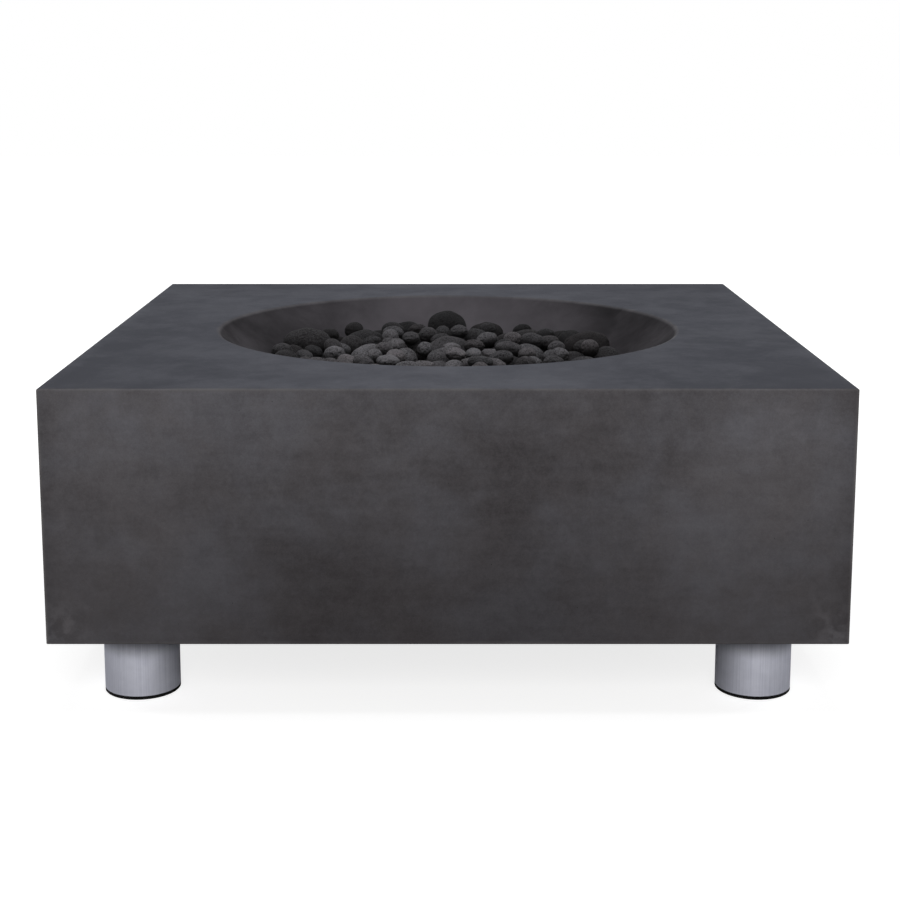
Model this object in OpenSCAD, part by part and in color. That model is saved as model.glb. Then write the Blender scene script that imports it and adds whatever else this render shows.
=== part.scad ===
// Square concrete fire pit table on round steel legs, with a gas burner under lava stones.
// Millimetres, +Z up, front towards -Y, origin on the floor under the middle of the table.

/* [Concrete block] */
// Side of the square block
table_w = 1067; // [980:1:1200]
// Height of the block
block_h = 346; // [320:1:420]
// Thickness of the side walls
wall_t = 24; // [18:1:36]
// Thickness of the top slab
slab_t = 34; // [24:1:48]
// Rounding of the outer edges
edge_r = 3; // [2:0.5:10]
// Rounding of the inner corners of the hollow underside
core_r = 18; // [6:1:40]

/* [Fire bowl] */
// Radius of the bowl where its curve meets the top
bowl_r = 367; // [340:1:400]
// Depth of the bowl's curve at its middle
bowl_d = 150; // [140:1:165]
// Thickness of the bowl's wall
bowl_t = 26; // [20:1:36]
// Rounding of the rim
rim_r = 6; // [3:0.5:16]

/* [Legs] */
// Outer diameter of a leg tube
leg_d = 104; // [90:1:120]
// Wall of a leg tube
leg_wall = 2; // [2:0.5:5]
// Length of a leg tube
leg_h = 94; // [70:1:160]
// From the block's side to a leg's axis
leg_inset = 107; // [90:1:140]
// Thickness of the plate welded into the top of a leg
plate_t = 6; // [4:0.5:10]
// Thickness of a foot pad under the tube
pad_t = 5; // [3:0.5:8]
// Height of the collar that holds a foot pad in its tube
collar_h = 12; // [6:1:24]
// Wall of that collar
collar_t = 6; // [3:0.5:10]
// Height of the cast boss over a leg
boss_h = 60; // [52:1:90]
// From a leg's axis to the boss's inner faces
boss_side = 80; // [60:1:95]

/* [Leg fixings] */
// Diameter of a leg bolt
bolt_d = 12; // [8:1:14]
// Length of a leg bolt below its head
bolt_len = 40; // [30:1:48]
// Across the flats of a bolt head
bolt_af = 19; // [17:1:24]
// Height of a bolt head
bolt_head_h = 7.5; // [5:0.5:10]
// Outer diameter of a washer
washer_d = 28; // [22:1:36]
// Thickness of a washer
washer_t = 2.5; // [1.5:0.5:4]
// Outer diameter of a cast-in insert
insert_d = 22; // [18:1:30]
// Length of a cast-in insert
insert_len = 45; // [42:1:50]

/* [Burner pan] */
// Outer diameter of the pan's wall
pan_d = 379; // [340:1:400]
// Width of the pan's lip
lip_w = 22; // [14:1:30]
// Thickness of the pan's sheet
sheet_t = 2; // [1:0.5:3]
// Depth of the pan below its lip
pan_depth = 46; // [40:1:60]
// Radius of the bend round the pan's floor
pan_bend_r = 10; // [5:1:16]
// Diameter of a drain hole
drain_d = 10; // [5:1:16]
// Diameter of the circle of drain holes
drain_circle_d = 220; // [190:1:240]

/* [Burner] */
// Centre-line diameter of the outer burner ring
ring_d = 280; // [260:1:310]
// Centre-line diameter of the inner burner ring
inner_ring_d = 156; // [120:1:180]
// Outer diameter of the burner's tube
burner_d = 19; // [15:1:22]
// Wall of the burner's tube
burner_wall = 1.5; // [1:0.25:2.5]
// Height of the rings' centre line above the pan's floor
burner_lift = 27; // [20:1:32]
// Diameter of a gas port
port_d = 3; // [1.5:0.5:4]
// Number of ports in the outer ring
port_count = 24; // [12:4:36]
// Diameter of the hub
hub_d = 36; // [30:1:44]
// Diameter of the hub's threaded stub below the pan
stub_d = 21; // [18:1:24]

/* [Gas line] */
// From the pan's underside down to the gas line's axis
gas_drop = 38; // [34:1:60]
// Outer diameter of the gas tube
tube_d = 9.5; // [8:0.5:10]
// Wall of the gas tube
tube_wall = 0.9; // [0.7:0.1:1.5]
// Radius of the gas tube's bends
tube_bend_r = 40; // [25:1:60]
// Distance of the gas tube's long run from the middle
tube_reach = 150; // [130:1:220]
// Thread diameter of the flare fittings
flare_d = 15.88; // [15:0.01:18]
// Thread length of the flare fittings
flare_len = 14; // [10:1:20]
// Across the flats of a flare nut
flare_af = 21; // [20:0.5:26]
// Length of a flare nut
flare_nut_len = 26; // [24:1:34]

/* [Key valve] */
// Diameter of the ball
ball_d = 22; // [20:0.5:26]
// Diameter of the ball's waterway
ball_bore_d = 12; // [8:0.5:12]
// Diameter of the stem
stem_d = 14; // [13:0.5:16]
// Width of the square key socket
key_af = 8; // [6:0.5:8]
// Depth of the key socket
key_depth = 12; // [8:1:16]
// Diameter of the threaded neck that passes through the wall
neck_d = 25; // [22:0.5:30]
// From the wall's inner face to the ball's centre
valve_stand = 40; // [34:1:60]
// Diameter of the flange round the key socket
flange_d = 60; // [50:1:80]
// Thickness of the flange, sunk flush in the wall
flange_t = 6; // [4:0.5:10]
// Across the flats of the lock nut
lock_nut_af = 36; // [34:1:44]
// Thickness of the lock nut
lock_nut_t = 7; // [5:0.5:10]

/* [Stones] */
// Depth of the crushed bed over the pan's lip
bed_t = 25; // [18:1:30]
// Radius of the smallest stones
stone_small_r = 14; // [12:1:16]
// Radius of the middling stones
stone_middle_r = 19; // [17:1:22]
// Radius of the larger loose stones
stone_large_r = 26; // [23:1:28]
// Places tried for the stones of the lower layer
lower_tries = 150; // [80:1:160]
// Places tried for the smaller stones on top
top_tries = 240; // [100:1:320]
// Least depth of the lower layer's tops below the table top
lower_clear = 26; // [22:1:40]
// Least depth of the smaller stones' tops below the table top
top_clear = 16; // [12:1:28]
// Least depth of the hand-placed stones' tops below the table top
large_clear = 8; // [6:1:16]
// Seed of the heap
heap_seed = 7; // [1:1:99]

/* [Fits] */
// Radial clearance of screwed and pushed-in pieces
fit = 0.1; // [0.05:0.05:0.2]
// Radial clearance of the turning stem and ball
run_fit = 0.05; // [0.02:0.01:0.09]
// Gap between loose stones and what they lie on
lay_gap = 0.4; // [0.3:0.05:0.6]
// Radial clearance of clearance holes and of the pan in its seat
loose_fit = 1; // [0.5:0.1:2]

/* [Hidden] */
$fn = 96;

// Segments of the bowl's wide curve
bowl_fn = 240;

// Through cuts run past a face by this much
past = 1;

// Block
z_block = pad_t + leg_h;
z_top = z_block + block_h;
half_w = table_w / 2;
inner_half_w = half_w - wall_t;
leg_place = half_w - leg_inset;
insert_bore_r = bolt_d / 2 + fit;
insert_roof = 4;

// Bowl: part of a ball whose centre lies above the table
bowl_ball_r = (pow(bowl_r, 2) + pow(bowl_d, 2)) / (2 * bowl_d);
bowl_cz = z_top - bowl_d + bowl_ball_r;

// Burner pan on its ledge
pan_r = pan_d / 2;
lip_r = pan_r + lip_w;
hole_r = pan_r + 2 * loose_fit;
seat_r = lip_r + loose_fit;
ledge_bite = 5;
z_ledge = bowl_height(hole_r - ledge_bite);
z_pan = z_ledge - pan_depth;
z_floor = z_pan + sheet_t;

// Burner
burner_r = burner_d / 2;
cross_d = burner_d - 3;
z_ring = z_floor + burner_lift;
hub_r = hub_d / 2;
hub_h = burner_lift + cross_d / 2 + 4;
stub_r = stub_d / 2;
stub_bore_r = stub_r - 3.5;
burner_nut_t = 8;
burner_nut_af = stub_d + 11;

// Gas line
z_gas = z_pan - gas_drop;
tube_r = tube_d / 2;
line_bore_r = tube_r - tube_wall;
flare_r = flare_d / 2;
flare_nose_r = line_bore_r + 1;
elbow_r = stub_r + 4;
elbow_stop = 13;
z_stub_end = z_gas + elbow_stop + fit;
elbow_arm_r = 12;
elbow_arm = 28;
orifice_r = 5;
orifice_len = 10;
orifice_jet_r = 0.9;

// Key valve: the gas flows along X and the stem points out of the rear wall
y_valve = inner_half_w - valve_stand;
ball_r = ball_d / 2;
ball_bore_r = ball_bore_d / 2;
chamber_r = ball_r + 1.2;
chamber_half = ball_r + 1.5;
seat_ring_t = 4.4;
valve_r = chamber_r + 5;
valve_inlet = chamber_half + 13.5;
valve_outlet = chamber_half + 8.7;
cap_hex_t = 9;
valve_arm = valve_outlet + fit + cap_hex_t;
neck_r = neck_d / 2;
neck_len = valve_stand + wall_t - 2.5;
stem_r = stem_d / 2;
stem_foot_r = stem_r + 2.2;
stem_foot_y = chamber_r + fit;
stem_foot_t = 2.6;
stem_end = neck_len - 1;
slot_w = 5;
slot_y = ball_r - 3.5;
tang_h = 12;
ring_cord_r = 0.9;
ring_places = [stem_foot_y + 10, stem_foot_y + 16];
spigot_r = flare_r;
spigot_len = 9;
inlet_arm = valve_inlet + 18;
inlet_drop = 24;

// Crushed bed and stones
z_bed = z_ledge + sheet_t + bed_t;
golden_turn = 137.508;
nudge = 9;
heap_rise = 32;
heap_r = sqrt(pow(bowl_ball_r, 2) - pow(bowl_cz - z_bed - heap_rise, 2)) - stone_large_r;

// Large stones, placed by hand: distance from the middle line, y, radius, stretch, turn, tilt
LARGE_STONES = [
    [0, 272, 31, 0.35, 0, 0],
    [0, 60, 33, 0.4, 15, 10],
    [62, 250, 26, 0.45, 20, 0],
    [242, 85, 30, 0.6, 12, 5],
    [216, -80, 27, 0.45, -40, 8],
    [140, 168, 29, 0.5, -15, 0],
    [112, -172, 29, 0.55, 20, 6],
    [128, 20, 29, 0.5, -50, 10]
];

// Height of the bowl's surface at a distance from its axis, for a ball of the given radius on it
function bowl_height(rho, r = 0) = bowl_cz - sqrt(pow(bowl_ball_r - r, 2) - pow(rho, 2));

// A knobbly stone: three joined balls along one axis, each [x, y, z, radius]
function stone(r, stretch, turn, tilt) =
    let (along = [cos(turn) * cos(tilt), sin(turn) * cos(tilt), sin(tilt)] * r * stretch)
    [[0, 0, 0, r], concat(-along, 0.9 * r), concat(0.9 * along, 0.84 * r)];

// Height at which a stone comes to rest over [x, y] on the bed, the bowl and the placed balls
function rest_height(balls, x, y, placed) = max([
    for (b = balls)
        let (bx = x + b.x, by = y + b.y, r = b[3] + lay_gap)
        max(concat(
            z_bed + r,
            bowl_height(norm([bx, by]), r),
            [for (o = placed)
                let (d2 = pow(o.x - bx, 2) + pow(o.y - by, 2), reach2 = pow(o[3] + r, 2))
                if (d2 < reach2) o.z + sqrt(reach2 - d2)]
        )) - b.z
]);

function moved(balls, by) = [for (b = balls) [b.x + by.x, b.y + by.y, b.z + by.z, b[3]]];
function crest(balls) = max([for (b = balls) b.z + b[3]]);
function lowest(options) =
    let (tops = [for (o = options) crest(o)], best = min(tops))
    [for (i = [0:len(options) - 1]) if (tops[i] == best) options[i]][0];

// A stone at rest at the lowest of the places in a ring round its own
function settled(item, placed) =
    let (balls = item[2], ring = [for (a = [0:45:315]) nudge * [cos(a), sin(a)]])
    lowest([
        for (step = concat([[0, 0]], ring))
            let (x = item[0] + step.x, y = item[1] + step.y)
            moved(balls, [x, y, rest_height(balls, x, y, placed)])
    ]);

// Adds the stones one by one to a heap, and leaves out those that would stand too high
function heaped(items, heap, limit, i = 0) =
    i == len(items) ? heap :
    let (
        next = settled(items[i], [for (s = heap) each s]),
        fits = crest(next) <= limit
    )
    heaped(items, fits ? concat(heap, [next]) : heap, limit, i + 1);

// Loose stones in a sunflower pattern, from the rim inwards: [x, y, balls]
function scattered(count, reach, small, large, seed) =
    let (
        size = rands(small, large, count, seed),
        stretch = rands(0.3, 0.6, count, seed + 1),
        turn = rands(0, 360, count, seed + 2),
        tilt = rands(-20, 20, count, seed + 3)
    )
    [for (i = [count - 1:-1:0])
        let (rho = reach * sqrt((i + 0.5) / count), a = golden_turn * i)
        [rho * cos(a), rho * sin(a), stone(size[i], stretch[i], turn[i], tilt[i])]];

function large_items() = [
    for (s = LARGE_STONES, side = s[0] == 0 ? [1] : [-1, 1])
        [side * s[0], s[1], stone(s[2], s[3], side * s[4], s[5])]
];
function large_heap() = heaped(large_items(), [], z_top - large_clear);
function lower_heap() =
    let (items = scattered(lower_tries, heap_r, stone_middle_r, stone_large_r, heap_seed))
    heaped(items, large_heap(), z_top - lower_clear);
// The loose stones that don't lie over a hand-placed one
function beside(items, heap) = [
    for (i = items)
        if (min([for (s = heap) norm([i[0] - s[0].x, i[1] - s[0].y]) - s[0][3]]) > 0) i
];
function top_heap(lower) =
    let (items = scattered(top_tries, heap_r, stone_small_r, stone_middle_r, heap_seed + 4))
    heaped(beside(items, large_heap()), lower, z_top - top_clear);
function after(heap, count) = [for (i = [count:1:len(heap) - 1]) heap[i]];

// Shared shapes
module rounded_square(w, d, r) {
    square([w - 2 * r, d], center = true);
    square([w, d - 2 * r], center = true);
    for (sx = [-1, 1], sy = [-1, 1])
        translate([sx * (w / 2 - r), sy * (d / 2 - r)]) circle(r);
}

module rounded_block(w, h, r) {
    intersection() {
        linear_extrude(h, center = true) rounded_square(w, w, r);
        rotate([90, 0, 0]) linear_extrude(w + past, center = true) rounded_square(w, h, r);
        rotate([90, 0, 90]) linear_extrude(w + past, center = true) rounded_square(w, h, r);
    }
}

module bowl_ball(grow) {
    translate([0, 0, bowl_cz]) sphere(r = bowl_ball_r + grow, $fn = bowl_fn);
}

module at_legs() {
    for (sx = [-1, 1], sy = [-1, 1])
        translate([sx * leg_place, sy * leg_place, 0]) children();
}

module along_x(x, y = 0, z = z_gas) {
    translate([x, y, z]) rotate([0, 90, 0]) children();
}

module along_y(y) {
    translate([0, y, z_gas]) rotate([-90, 0, 0]) children();
}

module hex_prism(af, h) {
    cylinder(r = af / 2 / cos(30), h = h, $fn = 6);
}

module hex_nut(af, h, bore_r) {
    difference() {
        hex_prism(af, h);
        translate([0, 0, -past]) cylinder(r = bore_r, h = h + 2 * past);
    }
}

module torus(ring_r, r) {
    rotate_extrude() translate([ring_r, 0]) circle(r);
}

// Male flare end: thread, then a 45 degree nose
module flare_end() {
    cylinder(r = flare_r, h = flare_len);
    translate([0, 0, flare_len])
        cylinder(r1 = flare_r, r2 = flare_nose_r, h = flare_r - flare_nose_r);
}

// Concrete block

// Corner between the top and the bowl that the rounded rim takes away
module rim_cut() {
    round_z = z_top - rim_r;
    round_x = sqrt(pow(bowl_ball_r + rim_r, 2) - pow(bowl_cz - round_z, 2));
    touch = bowl_ball_r / (bowl_ball_r + rim_r);
    touch_x = round_x * touch;
    touch_z = bowl_cz + (round_z - bowl_cz) * touch;
    rotate_extrude() difference() {
        polygon([[touch_x, touch_z], [round_x, round_z], [round_x, z_top + past],
                 [touch_x, z_top + past]]);
        translate([round_x, round_z]) circle(rim_r);
    }
}

module hollow_underside() {
    difference() {
        translate([0, 0, z_block - past]) linear_extrude(block_h - slab_t + past)
            rounded_square(2 * inner_half_w, 2 * inner_half_w, core_r);
        bowl_ball(bowl_t);
        for (sx = [-1, 1], sy = [-1, 1])
            translate([sx * half_w, sy * half_w, z_block - 2 * past]) linear_extrude(boss_h + 2 * past)
                rounded_square(2 * (leg_inset + boss_side), 2 * (leg_inset + boss_side), core_r);
    }
}

module concrete_shell() {
    color("#4b4c50") difference() {
        translate([0, 0, z_block + block_h / 2]) rounded_block(table_w, block_h, edge_r);
        hollow_underside();
        bowl_ball(0);
        rim_cut();
        translate([0, 0, z_ledge]) cylinder(r = seat_r, h = bowl_d);
        translate([0, 0, z_block]) cylinder(r = hole_r, h = block_h);
        at_legs() translate([0, 0, z_block - past])
            cylinder(r = insert_d / 2 + fit, h = insert_len + fit + past);
        along_y(inner_half_w - past) cylinder(r = neck_r + loose_fit, h = wall_t + 2 * past);
        along_y(half_w - flange_t) cylinder(r = flange_d / 2 + loose_fit / 2, h = flange_t + past);
    }
}

// Legs
module leg(sx, sy) {
    color("#b9bab8") translate([sx * leg_place, sy * leg_place, pad_t]) difference() {
        cylinder(d = leg_d, h = leg_h);
        translate([0, 0, -past]) cylinder(d = leg_d - 2 * leg_wall, h = leg_h - plate_t + past);
        cylinder(d = bolt_d + loose_fit, h = leg_h + past);
    }
}

module foot_pad(sx, sy) {
    collar_r = leg_d / 2 - leg_wall - fit;
    bevel = 0.8;
    rim = leg_d / 2;
    color("#1b1b1c") translate([sx * leg_place, sy * leg_place, 0]) rotate_extrude()
        polygon([[0, 0], [rim - bevel, 0], [rim, bevel], [rim, pad_t], [collar_r, pad_t],
                 [collar_r, pad_t + collar_h - bevel], [collar_r - bevel, pad_t + collar_h],
                 [collar_r - collar_t, pad_t + collar_h], [collar_r - collar_t, pad_t], [0, pad_t]]);
}

module leg_front_left() leg(-1, -1);
module leg_front_right() leg(1, -1);
module leg_rear_left() leg(-1, 1);
module leg_rear_right() leg(1, 1);
module foot_pad_front_left() foot_pad(-1, -1);
module foot_pad_front_right() foot_pad(1, -1);
module foot_pad_rear_left() foot_pad(-1, 1);
module foot_pad_rear_right() foot_pad(1, 1);

module leg_inserts() {
    groove = 1.5;
    groove_h = 5;
    color("#b08d57") at_legs() translate([0, 0, z_block]) difference() {
        cylinder(d = insert_d, h = insert_len);
        translate([0, 0, -past]) cylinder(r = insert_bore_r, h = insert_len - insert_roof + past);
        for (share = [1, 2]) translate([0, 0, share * insert_len / 3 - groove_h / 2])
            rotate_extrude() translate([insert_d / 2 - groove, 0]) square([groove + past, groove_h]);
    }
}

module leg_bolts() {
    color("#8f9194") at_legs() translate([0, 0, z_block - plate_t - washer_t]) {
        cylinder(d = bolt_d, h = bolt_len);
        translate([0, 0, -bolt_head_h]) hex_prism(bolt_af, bolt_head_h);
    }
}

module leg_washers() {
    color("#a8aaac") at_legs() translate([0, 0, z_block - plate_t - washer_t]) difference() {
        cylinder(d = washer_d, h = washer_t);
        translate([0, 0, -past]) cylinder(d = bolt_d + loose_fit, h = washer_t + 2 * past);
    }
}

// Burner

// Half section of a pan with a rounded floor bend
module pan_section(r, h, bend) {
    square([r - bend, h]);
    translate([0, bend]) square([r, h - bend]);
    translate([r - bend, bend]) circle(bend);
}

module burner_pan() {
    color("#7c7f82") difference() {
        rotate_extrude() difference() {
            union() {
                translate([0, z_pan]) pan_section(pan_r, pan_depth + sheet_t, pan_bend_r);
                translate([pan_r - sheet_t, z_ledge]) square([lip_w + sheet_t, sheet_t]);
            }
            translate([0, z_floor]) pan_section(pan_r - sheet_t, pan_depth + past, pan_bend_r - sheet_t);
        }
        translate([0, 0, z_pan - past]) cylinder(r = stub_r + loose_fit, h = sheet_t + 2 * past);
        for (k = [0:5]) rotate([0, 0, 60 * k + 30]) translate([drain_circle_d / 2, 0, z_pan - past])
            cylinder(d = drain_d, h = sheet_t + 2 * past);
    }
}

// The burner's tubes, drawn at a radial step inside their outer surface
module burner_tubes(inset) {
    translate([0, 0, z_ring]) {
        torus(ring_d / 2, burner_r - inset);
        torus(inner_ring_d / 2, burner_r - inset);
        along_x(-ring_d / 2, 0, 0) cylinder(r = cross_d / 2 - inset, h = ring_d);
    }
}

module burner_ports(ring, count) {
    lean = 30;
    for (k = [0:count - 1]) rotate([0, 0, (k + 0.5) * 360 / count])
        translate([ring / 2, 0, z_ring]) rotate([0, lean, 0]) cylinder(d = port_d, h = burner_r + past);
}

module burner_ring() {
    color("#a4a6a8") difference() {
        union() {
            burner_tubes(0);
            translate([0, 0, z_floor]) cylinder(r = hub_r, h = hub_h);
            translate([0, 0, z_stub_end]) cylinder(r = stub_r, h = z_ring - z_stub_end);
        }
        burner_tubes(burner_wall);
        translate([0, 0, z_stub_end - past]) cylinder(r = stub_bore_r, h = z_ring - z_stub_end + past);
        burner_ports(ring_d, port_count);
        burner_ports(inner_ring_d, port_count / 2);
    }
}

module burner_lock_nut() {
    color("#9c7c44") translate([0, 0, z_pan - burner_nut_t])
        hex_nut(burner_nut_af, burner_nut_t, stub_r + fit);
}

module burner_elbow() {
    elbow_top = z_pan - burner_nut_t - 0.5 - z_gas;
    color("#b08d57") difference() {
        union() {
            translate([0, 0, z_gas]) cylinder(r = elbow_r, h = elbow_top);
            translate([0, 0, z_gas]) sphere(r = elbow_r);
            along_x(0) cylinder(r = elbow_arm_r, h = elbow_arm);
            along_x(elbow_arm) flare_end();
        }
        translate([0, 0, z_gas + elbow_stop]) cylinder(r = stub_r + fit, h = elbow_top);
        translate([0, 0, z_gas]) cylinder(r = stub_bore_r, h = elbow_stop + past);
        along_x(0) cylinder(r = line_bore_r, h = elbow_arm + 2 * flare_len);
        along_x(0) cylinder(r = orifice_r + fit, h = elbow_arm - orifice_len / 2);
    }
}

module gas_orifice() {
    color("#c9a45c") along_x(elbow_arm - orifice_len * 1.5) difference() {
        cylinder(r = orifice_r, h = orifice_len);
        translate([0, 0, -past]) cylinder(r = orifice_jet_r, h = orifice_len + 2 * past);
        translate([0, 0, orifice_len / 2])
            cylinder(r1 = orifice_jet_r, r2 = orifice_r - 1, h = orifice_len / 2);
    }
}

// Gas line

// The flared end of the tube lies between the nose of its fitting and the cone in its nut
flare_slope = flare_len + flare_r + fit;
flare_skin = tube_wall * sqrt(2);
flare_join = flare_slope + flare_skin - tube_r + 3;
tube_run = tube_reach - tube_bend_r;

module tube_flare() {
    tip_r = flare_r - 0.6 - flare_skin / 2;
    rotate_extrude()
        polygon([[tip_r, flare_slope - tip_r], [line_bore_r, flare_slope - line_bore_r],
                 [line_bore_r, flare_join], [tube_r, flare_join],
                 [tube_r, flare_slope + flare_skin - tube_r],
                 [tip_r + flare_skin / 2, flare_slope + flare_skin / 2 - tip_r]]);
}

module tube_path(r) {
    along_x(elbow_arm + flare_join) cylinder(r = r, h = tube_run - elbow_arm - flare_join);
    translate([tube_run, tube_bend_r, z_gas]) rotate([0, 0, -90])
        rotate_extrude(angle = 90) translate([tube_bend_r, 0]) circle(r);
    translate([tube_reach, tube_bend_r, z_gas]) rotate([-90, 0, 0])
        cylinder(r = r, h = y_valve - 2 * tube_bend_r);
    translate([tube_run, y_valve - tube_bend_r, z_gas])
        rotate_extrude(angle = 90) translate([tube_bend_r, 0]) circle(r);
    along_x(valve_arm + flare_join, y_valve) cylinder(r = r, h = tube_run - valve_arm - flare_join);
}

module gas_tube() {
    color("#b7b9bb") {
        difference() {
            tube_path(tube_r);
            tube_path(line_bore_r);
        }
        along_x(elbow_arm) tube_flare();
        along_x(valve_arm, y_valve) tube_flare();
    }
}

module flare_nut() {
    start = 0.5;
    cone_r = flare_r + fit;
    hole_r = tube_r + fit;
    cone_z = flare_slope + flare_skin + fit;
    difference() {
        translate([0, 0, start]) hex_prism(flare_af, flare_nut_len);
        rotate_extrude()
            polygon([[0, 0], [cone_r, 0], [cone_r, cone_z - cone_r], [hole_r, cone_z - hole_r],
                     [hole_r, flare_nut_len + 2 * past], [0, flare_nut_len + 2 * past]]);
    }
}

module flare_nuts() {
    color("#b08d57") {
        along_x(elbow_arm) flare_nut();
        along_x(valve_arm, y_valve) flare_nut();
    }
}

// Key valve
module valve_body() {
    color("#b08d57") difference() {
        union() {
            along_x(-valve_inlet, y_valve) cylinder(r = valve_r, h = valve_inlet + valve_outlet);
            along_y(y_valve) cylinder(r = neck_r, h = neck_len);
        }
        along_x(-chamber_half, y_valve) cylinder(r = chamber_r, h = chamber_half + valve_outlet + past);
        along_x(-valve_inlet - past, y_valve) cylinder(r = ball_bore_r, h = valve_inlet);
        along_x(-valve_inlet - past, y_valve) cylinder(r = spigot_r + fit, h = spigot_len + fit + past);
        along_y(y_valve) cylinder(r = stem_r + run_fit, h = neck_len + past);
        along_y(y_valve) cylinder(r = stem_foot_r + fit, h = stem_foot_y + stem_foot_t + fit);
    }
}

module valve_end_cap() {
    color("#c9a45c") difference() {
        union() {
            along_x(chamber_half, y_valve) cylinder(r = chamber_r - fit, h = valve_arm - chamber_half);
            along_x(valve_outlet + fit, y_valve) hex_prism(2 * valve_r, cap_hex_t);
            along_x(valve_arm, y_valve) flare_end();
        }
        along_x(0, y_valve) cylinder(r = line_bore_r, h = valve_arm + 2 * flare_len);
    }
}

module valve_seats() {
    color("#e8e6df") difference() {
        for (side = [-1, 1]) along_x(side * (chamber_half - seat_ring_t / 2), y_valve) difference() {
            cylinder(r = chamber_r - fit, h = seat_ring_t - 2 * fit, center = true);
            cylinder(r = ball_bore_r + fit, h = seat_ring_t + past, center = true);
        }
        translate([0, y_valve, z_gas]) sphere(r = ball_r + run_fit);
    }
}

// Closed at rest: the waterway stands upright, across the flow
module valve_ball() {
    color("#d4d6d8") translate([0, y_valve, z_gas]) difference() {
        sphere(r = ball_r);
        cylinder(r = ball_bore_r, h = 2 * ball_d, center = true);
        translate([0, slot_y + ball_r / 2, 0]) cube([slot_w, ball_r, 2 * ball_d], center = true);
    }
}

module valve_stem() {
    tang_y = slot_y + fit;
    color("#caa45a") difference() {
        union() {
            along_y(y_valve + stem_foot_y) cylinder(r = stem_r, h = stem_end - stem_foot_y);
            along_y(y_valve + stem_foot_y) cylinder(r = stem_foot_r, h = stem_foot_t);
            translate([-slot_w / 2 + fit, y_valve + tang_y, z_gas - tang_h / 2])
                cube([slot_w - 2 * fit, stem_foot_y - tang_y + past, tang_h]);
        }
        for (place = ring_places) along_y(y_valve + place) rotate_extrude()
            translate([stem_r - 2 * ring_cord_r, -ring_cord_r - fit])
                square([2 * ring_cord_r + past, 2 * (ring_cord_r + fit)]);
        translate([0, y_valve + stem_end, z_gas]) cube([key_af, 2 * key_depth, key_af], center = true);
    }
}

module stem_o_rings() {
    color("#161616") for (place = ring_places) along_y(y_valve + place)
        torus(stem_r - ring_cord_r + run_fit / 2, ring_cord_r);
}

module valve_flange() {
    bevel = flange_t / 3;
    thick = flange_t - fit;
    rim = flange_d / 2;
    color("#c3c5c7") along_y(half_w - flange_t) rotate_extrude()
        polygon([[neck_r + fit, 0], [rim, 0], [rim, thick - bevel], [rim - 2 * bevel, thick],
                 [neck_r + fit, thick]]);
}

module valve_lock_nut() {
    color("#9c7c44") along_y(inner_half_w - lock_nut_t) hex_nut(lock_nut_af, lock_nut_t, neck_r + fit);
}

module inlet_elbow() {
    bend_x = -inlet_arm;
    color("#b08d57") difference() {
        union() {
            along_x(-valve_inlet, y_valve) cylinder(r = spigot_r, h = spigot_len);
            along_x(bend_x, y_valve) cylinder(r = elbow_arm_r, h = inlet_arm - valve_inlet - fit);
            along_x(-valve_inlet - past, y_valve) cylinder(r = spigot_r, h = past);
            translate([bend_x, y_valve, z_gas]) sphere(r = elbow_arm_r);
            translate([bend_x, y_valve, z_gas - inlet_drop]) cylinder(r = elbow_arm_r, h = inlet_drop);
        }
        along_x(bend_x, y_valve) cylinder(r = line_bore_r, h = inlet_arm);
        translate([bend_x, y_valve, z_gas - inlet_drop - past])
            cylinder(r = line_bore_r, h = inlet_drop + past);
        translate([bend_x, y_valve, z_gas - inlet_drop - past])
            cylinder(r = spigot_r + fit, h = spigot_len + fit + past);
    }
}

module inlet_fitting() {
    hex_t = 8;
    color("#c9a45c") translate([-inlet_arm, y_valve, z_gas - inlet_drop]) rotate([180, 0, 0]) difference() {
        union() {
            translate([0, 0, -spigot_len]) cylinder(r = spigot_r, h = spigot_len + fit);
            translate([0, 0, fit]) hex_prism(2 * elbow_arm_r, hex_t);
            translate([0, 0, fit + hex_t]) flare_end();
        }
        translate([0, 0, -2 * spigot_len]) cylinder(r = line_bore_r, h = 4 * spigot_len + hex_t);
    }
}

// Crushed bed and stones

// The bed fills the pan round the burner and lies in the bowl over the pan's lip
module lava_bed() {
    z_lip = z_ledge + sheet_t + lay_gap;
    bed_h = z_bed - z_lip;
    color("#2c2a29") difference() {
        rotate_extrude() {
            intersection() {
                translate([0, bowl_cz]) circle(bowl_ball_r - lay_gap, $fn = bowl_fn);
                translate([0, z_lip]) square([bowl_r, bed_h]);
            }
            translate([0, z_lip]) square([seat_r - lay_gap, bed_h]);
            translate([0, z_floor + lay_gap])
                pan_section(pan_r - sheet_t - lay_gap, z_bed - z_floor - lay_gap, pan_bend_r - sheet_t);
        }
        burner_tubes(-lay_gap);
        translate([0, 0, z_floor]) cylinder(r = hub_r + lay_gap, h = hub_h + lay_gap);
    }
}

// A stone is drawn upright, from its first ball, and then turned along its axis
module stones(heap) {
    for (balls = heap)
        let (
            middle = [balls[0].x, balls[0].y, balls[0].z],
            axis = [balls[2].x, balls[2].y, balls[2].z] - middle,
            lean = acos(axis.z / norm(axis)),
            turn = atan2(axis.y, axis.x)
        )
        translate(middle) rotate([0, lean, turn]) for (b = balls)
            translate([0, 0, ([b.x, b.y, b.z] - middle) * axis / norm(axis)]) sphere(r = b[3]);
}

module lava_stones_large() {
    color("#575250") stones(large_heap());
}

module lava_stones_lower() {
    color("#3b3837") stones(after(lower_heap(), len(large_heap())));
}

module lava_stones_top() {
    lower = lower_heap();
    color("#474341") stones(after(top_heap(lower), len(lower)));
}

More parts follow.
